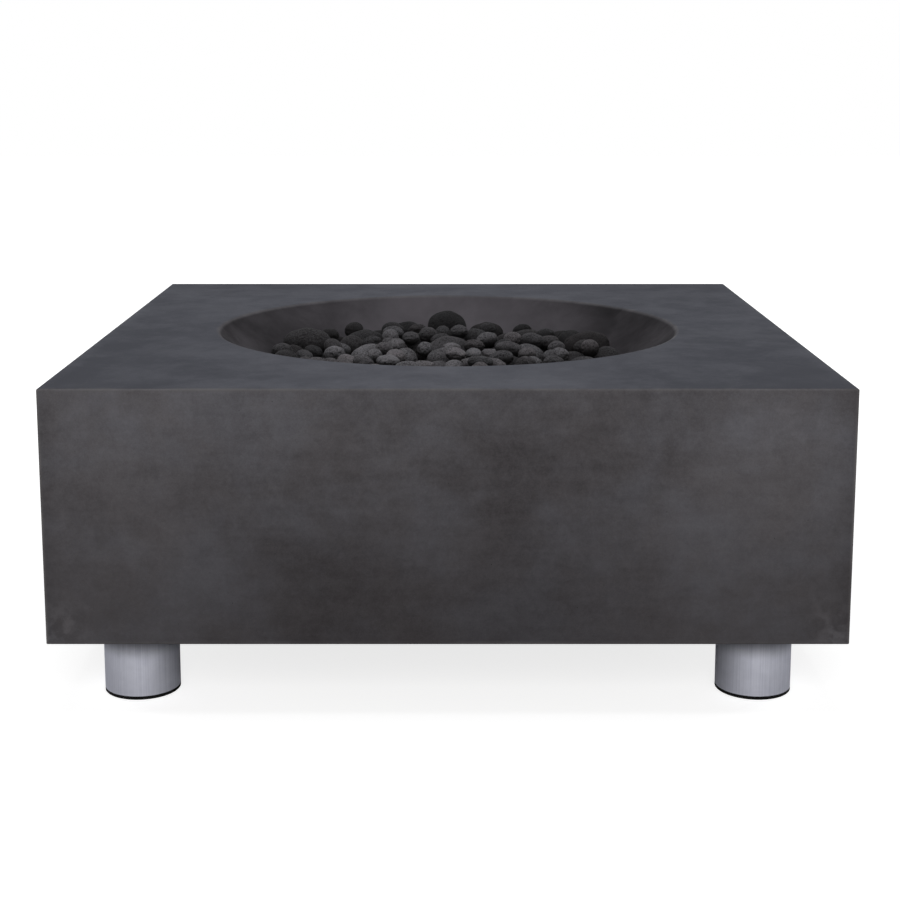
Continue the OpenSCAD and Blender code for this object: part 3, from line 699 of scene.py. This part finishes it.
FINISHES = (
    ConcreteFinish("concrete", 0.82, specular=0.03),
    LavaFinish("lava", 0.9, specular=0.08),
    MetalFinish(
        "leg_steel", 0.56, 1.0, tint=(0.1, 0.105, 0.12), colour=(0.71, 0.72, 0.80),
        # The legs' painted shade grows over these heights, just under the block
        tarnish=(0.51, 0.52, 0.59), grain=Grain.BRUSHED, painted_shade_heights=(0.054, 0.085)),
    MetalFinish("zinc_steel", 0.3, 1.0, colour=(0.55, 0.56, 0.58), tarnish=(0.42, 0.43, 0.42)),
    MetalFinish(
        "burner_steel", 0.38, 1.0, colour=(0.45, 0.45, 0.46), tarnish=(0.30, 0.27, 0.24), grain=Grain.ROLLED),
    MetalFinish("brass", 0.3, 1.0, colour=(0.66, 0.49, 0.23), tarnish=(0.46, 0.32, 0.15)),
    MetalFinish("line_aluminium", 0.35, 1.0, colour=(0.68, 0.69, 0.70), tarnish=(0.55, 0.56, 0.57)),
    MetalFinish(
        "chrome", 0.17, 1.0, colour=(0.55, 0.556, 0.56), tarnish=(0.40, 0.405, 0.41), depth=0.00001),
    MouldedFinish(
        "pad_rubber", 0.72, specular=0.12, colour=(0.004, 0.004, 0.004), dust=(0.02, 0.02, 0.02)),
    MouldedFinish("seal_rubber", 0.5, colour=(0.012, 0.012, 0.012), dust=(0.03, 0.03, 0.03)),
    MouldedFinish("seat_plastic", 0.42, colour=(0.86, 0.85, 0.81), dust=(0.74, 0.73, 0.69)),
)


class Dresser:
    """Holds the built finishes, and puts them on solids and on new pieces."""

    def __init__(self) -> None:
        """Builds the node groups and every finish."""
        effects = Effects()
        self.materials = {finish.slot: finish.build(effects) for finish in FINISHES}

    def dress_solids(self, nodes: dict[str, bpy.types.Object]) -> None:
        """Gives each solid the finish that has the name of the solid's own slot.

        Args:
            nodes: the solids by name.
        """
        for name, solid in sorted(nodes.items()):
            slot = solid.data.materials[0].name.split(".")[0]
            solid.material_slots[0].material = self.materials[slot]
            LOG.info("%s: %s", name, slot)

    def make_piece(self, name: str, points: np.ndarray, faces: np.ndarray, slot: str,
                   **numbers: np.ndarray) -> bpy.types.Object:
        """Makes a smooth piece that rides on the table.

        Args:
            name: the piece's name.
            points: its corners, in metres.
            faces: the corner numbers of each face.
            slot: the finish it takes.
            numbers: one number for each corner, kept under its own name.

        Returns:
            The piece.
        """
        mesh = bpy.data.meshes.new(name)
        mesh.from_pydata(points, [], faces)
        mesh.polygons.foreach_set("use_smooth", np.ones(len(faces), bool))
        for key, values in numbers.items():
            kept = mesh.attributes.new(key, "FLOAT", "POINT")
            kept.data.foreach_set("value", values.astype(np.float32))
        mesh.materials.append(self.materials[slot])
        piece = bpy.data.objects.new(name, mesh)
        bpy.context.scene.collection.objects.link(piece)
        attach(piece, TABLE_BODY)
        LOG.info("%s: %d corners, %d faces", name, len(points), len(faces))
        return piece


def blown_cube(cuts: int) -> tuple[np.ndarray, np.ndarray]:
    """A ball with even cells.

    Each side of a cube is a grid of two parameters from -1 to 1, spread by the tangent so that
    its cells come out alike, and every point is then set to a distance of one from the middle.

    Args:
        cuts: cells along each side of the cube.

    Returns:
        Directions and the four corner numbers of each face.
    """
    line = np.tan(np.linspace(-1, 1, cuts + 1) * math.pi / 4)
    a, b = np.meshgrid(line, line, indexing="ij")
    one = np.ones_like(a)
    sides = ((one, a, b), (-one, b, a), (b, one, a), (a, -one, b), (a, b, one), (b, a, -one))
    points = np.concatenate([np.stack(side, -1).reshape(-1, 3) for side in sides])
    row = cuts + 1
    first = (np.arange(cuts)[:, None] * row + np.arange(cuts)).ravel()
    quads = np.stack([first, first + row, first + row + 1, first + 1], -1)
    faces = np.concatenate([quads + side * row * row for side in range(len(sides))])
    points, joined = np.unique(points.round(9), axis=0, return_inverse=True)
    return points / np.linalg.norm(points, axis=1, keepdims=True), joined.reshape(-1)[faces]


def unit_arrows(draw: np.random.Generator, count: int) -> np.ndarray:
    """Gives so many directions, spread evenly over a ball by chance."""
    arrows = draw.normal(size=(count, 3))
    return arrows / np.linalg.norm(arrows, axis=1, keepdims=True)


@dataclass(frozen=True)
class Waves:
    """Plane waves across a ball: least and most phase to the radian, their number and their strength."""

    low: float
    high: float
    count: int
    strength: float = 0.45

    def ripple(self, directions: np.ndarray, draw: np.random.Generator) -> np.ndarray:
        """The waves' sum over the root of their number, carried to about 0 to 1 and cut off there.

        Args:
            directions: where it is read.
            draw: the source of the waves' own directions, numbers and starts.

        Returns:
            One number for each direction.
        """
        waves = unit_arrows(draw, self.count) * draw.uniform(self.low, self.high, (self.count, 1))
        starts = draw.uniform(0, math.tau, self.count)
        total = np.sin(directions @ waves.T + starts).sum(1) / math.sqrt(self.count)
        return np.clip(0.5 + total * self.strength, 0.0, 1.0)


@dataclass
class StoneSolid:
    """One stone of a solid node: its corners, each corner's share of the face, and its middle."""

    corners: np.ndarray
    shares: np.ndarray

    @property
    def middle(self) -> np.ndarray:
        """The face's own middle."""
        return (self.corners * self.shares[:, None]).sum(0) / self.shares.sum()

    @property
    def radius(self) -> float:
        """The mean distance of the corners from the middle."""
        return float(np.linalg.norm(self.corners - self.middle, axis=1).mean())

    def gap(self, points: np.ndarray) -> np.ndarray:
        """About how far points lie outside the stone, which is taken as an ellipsoid.

        The ellipsoid's axes are those of the corners' spread. A point's arm from the middle
        leaves the ellipsoid at the arm's length over that length counted in half axes.

        Args:
            points: the places.

        Returns:
            One distance for each, at least 0.
        """
        arms = self.corners - self.middle
        axes = np.linalg.eigh(arms.T @ (arms * self.shares[:, None]))[1]
        halves = np.abs(arms @ axes).max(0)
        away = points - self.middle
        times = np.linalg.norm(away @ axes / halves, axis=1)
        return np.linalg.norm(away, axis=1) * np.maximum(1 - 1 / times, 0.0)


@dataclass(frozen=True)
class Layer:
    """One node of stones: the cells along each side of its balls, how far its stones are darkened as painted
    shade, and how flat.
    """

    node: str
    cuts: int
    shade: float
    heights: Pair = (1.0, 1.0)


@dataclass
class LavaHeap:
    """The tumbled lava stones: each solid stone is worked into a pitted one in its place."""

    dresser: Dresser
    layers: tuple[Layer, ...] = (
        Layer("lava_stones_large", 32, 1.0),
        Layer("lava_stones_lower", 18, 0.6),
        Layer("lava_stones_top", 13, 1.0, (0.76, 1.0)),
    )
    seed: int = 11
    soften: float = 0.05
    fill: float = 1.02
    swell: float = 0.06
    swell_waves: Waves = Waves(1.5, 3.2, 6)
    dent: float = 0.03
    dent_waves: Waves = Waves(5.0, 11.0, 14)
    pit_depth: float = 0.0016
    pit_sizes: Pair = (0.0016, 0.0042)
    pits: int = 60
    # Painted light round a spot in front of the middle, which fades to painted shade towards the bowl's wall
    painted_light_spot: Pair = (0.0, -0.07)
    painted_light_reach: float = 0.3
    painted_light_tone: float = 0.2
    tone_odds: Pair = (1.5, 2.6)
    warmth_odds: Pair = (0.8, 2.2)
    # Painted shade in the gaps: how much a near stone darkens, over what gap, and how far it reaches
    gap_shade: float = 0.72
    gap_shade_distance: float = 0.006
    gap_shade_reach: float = 2.5

    @staticmethod
    def solids_of(node: str) -> list[StoneSolid]:
        """Splits a node into its stones.

        Corners in one place are joined, and each then takes the lowest number among its
        neighbours over and over, until every stone has one number.

        Args:
            node: the name of a node of stones.

        Returns:
            The stones, in the order of their lowest numbers.
        """
        mesh = frame["nodes"][node].data
        places = np.empty(len(mesh.vertices) * 3, np.float32)
        mesh.vertices.foreach_get("co", places)
        mesh.calc_loop_triangles()
        triangles = np.empty(len(mesh.loop_triangles) * 3, np.int32)
        mesh.loop_triangles.foreach_get("vertices", triangles)
        corners, joined = np.unique(places.reshape(-1, 3).round(6), axis=0, return_inverse=True)
        triangles = joined.reshape(-1)[triangles.reshape(-1, 3)]
        label = np.arange(len(corners))
        while True:
            lowest = label[triangles].min(1)
            after = label.copy()
            np.minimum.at(after, triangles, lowest[:, None].repeat(3, 1))
            after = after[after]
            if (after == label).all():
                break
            label = after
        a, b, c = (corners[triangles[:, i]] for i in range(3))
        # A third of each triangle's area goes to each of its corners
        area = np.linalg.norm(np.cross(b - a, c - a), axis=1) / 6
        shares = np.zeros(len(corners))
        np.add.at(shares, triangles, area[:, None].repeat(3, 1))
        return [StoneSolid(corners[label == k], shares[label == k]) for k in np.unique(label)]

    def worked(self, stone: StoneSolid, directions: np.ndarray, draw: np.random.Generator) -> np.ndarray:
        """Works one stone.

        The point in direction d is the mean of the solid's corners, each weighted by e to the
        power of how far it stands out along d, which rounds the solid off just inside itself.
        Slow swells, small dents and round pits then draw it in towards the middle.

        Args:
            stone: the solid stone.
            directions: the ball of directions.
            draw: the source of its swells, dents and pits.

        Returns:
            The stone's corners.
        """
        reach = stone.corners @ directions.T
        weight = np.exp((reach - reach.max(0)) / (self.soften * stone.radius)) * stone.shares[:, None]
        base = (weight / weight.sum(0)).T @ stone.corners
        arms = base - stone.middle
        length = np.linalg.norm(arms, axis=1)
        way = arms / length[:, None]
        centres = unit_arrows(draw, self.pits)
        sizes = draw.uniform(*self.pit_sizes, self.pits) / stone.radius
        off = np.arccos(np.clip(way @ centres.T, -1, 1)) / sizes
        pit = np.where(off < 1, (1 - off**2) ** 2, 0.0).max(1) * self.pit_depth
        keep = self.fill - self.swell * self.swell_waves.ripple(way, draw)
        keep -= self.dent * self.dent_waves.ripple(way, draw)
        return stone.middle + way * (length * keep - pit)[:, None]

    @staticmethod
    def pressed(points: np.ndarray, height: float) -> np.ndarray:
        """Makes a stone flatter: each corner keeps one share of its height over the stone's foot."""
        foot = points.min(0) * (0, 0, 1)
        return foot + (points - foot) * (1, 1, height)

    def unshaded_share(self, points: np.ndarray, stone: StoneSolid, every: list[StoneSolid]) -> np.ndarray:
        """How far a stone's corners are left out of the painted shade in the gaps.

        Each near stone takes off a share that falls as e to the power of minus the gap to it.

        Args:
            points: the stone's corners.
            stone: its solid.
            every: all the stones.

        Returns:
            One share for each corner, 1 where it stands free.
        """
        clean = np.ones(len(points))
        for other in every:
            apart = np.linalg.norm(other.middle - stone.middle)
            if other is not stone and apart < self.gap_shade_reach * (other.radius + stone.radius):
                clean *= 1 - self.gap_shade * np.exp(-other.gap(points) / self.gap_shade_distance)
        return clean

    def tones(self, stones: list[StoneSolid], draw: np.random.Generator) -> np.ndarray:
        """Draws each stone's tone.

        The drawn part falls with the square of the distance from the spot, and a plain part falls with the
        distance itself: painted light near the spot, and painted shade towards the bowl's wall and back.

        Args:
            stones: the solid stones.
            draw: the source of the tones.

        Returns:
            One tone for each stone.
        """
        away = np.array([stone.middle[:2] for stone in stones]) - self.painted_light_spot
        far = np.minimum(np.hypot(*away.T) / self.painted_light_reach, 1.0)
        return draw.beta(*self.tone_odds, len(stones)) * (1 - far**2) + self.painted_light_tone * (1 - far)

    def build(self) -> list[StoneSolid]:
        """Makes one piece for each node of stones.

        Returns:
            All the solid stones, for what has to keep clear of them.
        """
        layers = [(layer, self.solids_of(layer.node)) for layer in self.layers]
        every = [stone for _, stones in layers for stone in stones]
        before = 0
        for layer, stones in layers:
            draw = np.random.default_rng(self.seed + before)
            before += len(stones)
            directions, faces = blown_cube(layer.cuts)
            heights = np.random.default_rng(self.seed).uniform(*layer.heights, len(stones))
            points = [self.worked(stone, directions, draw) for stone in stones]
            points = [self.pressed(place, height) for place, height in zip(points, heights)]
            quads = [faces + i * len(directions) for i in range(len(stones))]
            # Painted shade where a stone comes near its neighbours
            clean = [self.unshaded_share(place, stone, every) for place, stone in zip(points, stones)]
            # The lower layer's stones are darkened as painted shade under the top ones
            tones = self.tones(stones, draw) * layer.shade
            warmths = draw.beta(*self.warmth_odds, len(stones))
            piece = self.dresser.make_piece(
                layer.node + "_worked", np.concatenate(points), np.concatenate(quads), "lava",
                stone_tone=tones.repeat(len(directions)), stone_warmth=warmths.repeat(len(directions)),
                stone_clean=np.concatenate(clean))
            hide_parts(layer.node)
        return every


@dataclass
class LavaChips:
    """Small chips on the bed, seen in the gaps between the stones."""

    dresser: Dresser
    seed: int = 5
    tries: int = 900
    radii: Pair = (0.005, 0.009)
    shapes: Pair = (0.75, 1.2)
    reach: float = 0.222
    scatter: float = 0.0045
    lift: float = 0.45
    clearance: float = 0.55
    cuts: int = 3
    swell: float = 0.25
    swell_waves: Waves = Waves(1.5, 3.5, 5)
    palest: float = 0.4
    tone_odds: Pair = (1.4, 2.4)
    warmth: float = 0.3
    # Painted shade on the chips, which lie in the gaps
    clean: float = 0.7

    def build(self, stones: list[StoneSolid]) -> bpy.types.Object:
        """Lays the chips on a sunflower spiral, leaving out those that a stone covers.

        Chip number n lies at the golden turn times n, at a distance that grows with the root
        of n, and is knocked a little off that place. Its surface is the ball of directions times
        its own three radii and a swell.

        Args:
            stones: the stones that lie on the bed.

        Returns:
            The piece of all chips.
        """
        draw = np.random.default_rng(self.seed)
        number = np.arange(self.tries)
        turn = number * GOLDEN_TURN
        far = self.reach * np.sqrt((number + 0.5) / self.tries)
        size = draw.uniform(*self.radii, (self.tries, 1)) * draw.uniform(*self.shapes, (self.tries, 3))
        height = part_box("lava_bed")[1].z + size[:, 2] * self.lift
        knock = draw.normal(0.0, self.scatter, (2, self.tries))
        middle = np.stack([far * np.cos(turn) + knock[0], far * np.sin(turn) + knock[1], height], -1)
        middles = np.array([stone.middle for stone in stones])
        radii = np.array([stone.radius for stone in stones])
        gap = np.linalg.norm(middle[:, None] - middles, axis=2) - radii
        kept = gap.min(1) > size.max(1) * self.clearance
        middle, size = middle[kept], size[kept]
        directions, faces = blown_cube(self.cuts)
        ripples = np.stack([self.swell_waves.ripple(directions, draw) for _ in range(len(size))])
        points = middle[:, None] + directions * size[:, None] * (1 - self.swell * ripples)[..., None]
        quads = faces + np.arange(len(size))[:, None, None] * len(directions)
        tones = self.palest * draw.beta(*self.tone_odds, len(size)).repeat(len(directions))
        return self.dresser.make_piece(
            "lava_chips", points.reshape(-1, 3), quads.reshape(-1, 4), "lava",
            stone_tone=tones, stone_warmth=tones * self.warmth, stone_clean=np.full(len(tones), self.clean))


@dataclass(frozen=True)
class Lamp:
    """One square soft lamp that faces a point."""

    name: str
    place: Place
    size: float
    power: float
    colour: Colour = (1.0, 1.0, 1.0)
    aim: Place = (0.0, 0.0, 0.3)

    def hang(self) -> None:
        """Makes the lamp and turns it to its aim."""
        lamp = bpy.data.lights.new(self.name, "AREA")
        lamp.shape, lamp.size, lamp.energy, lamp.color = "SQUARE", self.size, self.power, self.colour
        hung = bpy.data.objects.new(self.name, lamp)
        hung.location = self.place
        x, y, z = np.subtract(self.aim, self.place)
        hung.rotation_euler = (math.atan2(math.hypot(x, y), -z), 0.0, math.atan2(y, x) - math.pi / 2)
        bpy.context.scene.collection.objects.link(hung)


@dataclass
class Studio:
    """A pale floor, soft light from above, in front and behind, and a white surround."""

    lamps: tuple[Lamp, ...] = (
        Lamp("overhead_softbox", (0.0, -0.3, 3.1), 1.4, 30.0, (0.95, 0.97, 1.0)),
        Lamp("front_softbox", (0.0, -4.0, 2.1), 2.0, 62.0, (1.0, 0.985, 0.97), (0.0, 0.0, 0.35)),
        Lamp("rear_left_softbox", (-3.2, 2.2, 1.7), 1.8, 40.0),
        Lamp("rear_right_softbox", (3.2, 2.2, 1.7), 1.8, 40.0),
    )
    floor_half: float = 14.0
    floor_colour: Colour = (0.55, 0.55, 0.55)
    glow: Ramp = (1.0, 2.6, 0.78, 1.0)
    glow_in_gloss: Pair = (0.9, 1.4)
    surround: float = 0.16

    def build(self) -> None:
        """Makes the floor, the lamps and the surround."""
        self._floor()
        for lamp in self.lamps:
            lamp.hang()
        self._surround()

    @staticmethod
    def _seen(wiring: Wiring, in_gloss: Any = 1.0) -> Socket:
        """Tells what is looked at from what only lights the table.

        Args:
            wiring: the floor's or the world's tree.
            in_gloss: the share that a gloss sees.

        Returns:
            1 where the camera or clear glass looks, in_gloss where a gloss does, and otherwise 0.
        """
        path = wiring.add("LightPath").outputs
        glossy = wiring.times(path["Is Glossy Ray"], in_gloss)
        either = wiring.maths("MAXIMUM", path["Is Camera Ray"], path["Is Transmission Ray"])
        return wiring.maths("MAXIMUM", either, glossy)

    def _floor(self) -> None:
        """A flat sheet of two by two cells at the pads' feet, clear from below."""
        line = np.linspace(-self.floor_half, self.floor_half, 3)
        x, y = np.meshgrid(line, line)
        points = np.stack([x, y, np.zeros_like(x)], -1).reshape(-1, 3)
        first = np.array([0, 1, 3, 4])
        faces = np.stack([first, first + 1, first + 4, first + 3], -1)
        mesh = bpy.data.meshes.new("floor")
        mesh.from_pydata(points, [], faces)
        mesh.materials.append(self._floor_material())
        floor = bpy.data.objects.new("floor", mesh)
        bpy.context.scene.collection.objects.link(floor)

    def _floor_material(self) -> bpy.types.Material:
        """A matt floor that glows white where it is looked at, less so near the table.

        Returns:
            The material.
        """
        material = bpy.data.materials.new("pale_floor")
        material.use_nodes = True
        wiring = Wiring(material.node_tree)
        material.node_tree.nodes.remove(material.node_tree.nodes["Principled BSDF"])
        matt = wiring.add("BsdfDiffuse", {"Color": self.floor_colour}).outputs[0]
        off = wiring.radius(wiring.add("TexCoord").outputs["Object"])
        seen = self._seen(wiring, wiring.span(off, *self.glow_in_gloss))
        strength = wiring.times(seen, wiring.span(off, *self.glow))
        glow = wiring.add("Emission", {"Strength": strength}).outputs[0]
        lit = wiring.add("AddShader", {0: matt, 1: glow}).outputs[0]
        clear = wiring.add("BsdfTransparent").outputs[0]
        back = wiring.add("NewGeometry").outputs["Backfacing"]
        both = wiring.add("MixShader", {0: back, 1: lit, 2: clear}).outputs[0]
        wiring.feed(material.node_tree.nodes["Material Output"].inputs["Surface"], both)
        return material

    def _surround(self) -> None:
        """White where it is seen, and dimmer where it only lights the table."""
        world = bpy.data.worlds.new("white_surround")
        bpy.context.scene.world = world
        world.use_nodes = True
        wiring = Wiring(world.node_tree)
        strength = wiring.span(self._seen(wiring), 0.0, 1.0, self.surround, 1.0)
        backdrop = world.node_tree.nodes["Background"].inputs
        backdrop["Color"].default_value = (1.0, 1.0, 1.0, 1.0)
        wiring.feed(backdrop["Strength"], strength)


@dataclass
class PhotoCamera:
    """The camera, where the photograph was taken from."""

    place: Place = (0.0, -2.6197, 0.8502)
    pitch: float = 9.416
    lens: float = 65.7
    sensor: float = 36.0
    shift: Pair = (0.00248, -0.1181)
    sight: float = 60.0

    def build(self) -> None:
        """Makes the camera and gives it to the scene."""
        view = bpy.data.cameras.new("photo_camera")
        view.lens, view.sensor_width = self.lens, self.sensor
        view.shift_x, view.shift_y = self.shift
        view.clip_end = self.sight
        camera = bpy.data.objects.new("photo_camera", view)
        camera.location = self.place
        camera.rotation_euler = (math.radians(90 - self.pitch), 0.0, 0.0)
        bpy.context.scene.collection.objects.link(camera)
        bpy.context.scene.camera = camera


def main() -> None:
    """Builds the camera, the stage, the finishes and the stones in order."""
    logging.basicConfig(level=logging.INFO, format="%(message)s")
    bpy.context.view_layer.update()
    bpy.context.scene.view_settings.view_transform = "Standard"
    PhotoCamera().build()
    Studio().build()
    dresser = Dresser()
    dresser.dress_solids(frame["nodes"])
    stones = LavaHeap(dresser).build()
    LavaChips(dresser).build(stones)


if __name__ == "__main__":
    main()
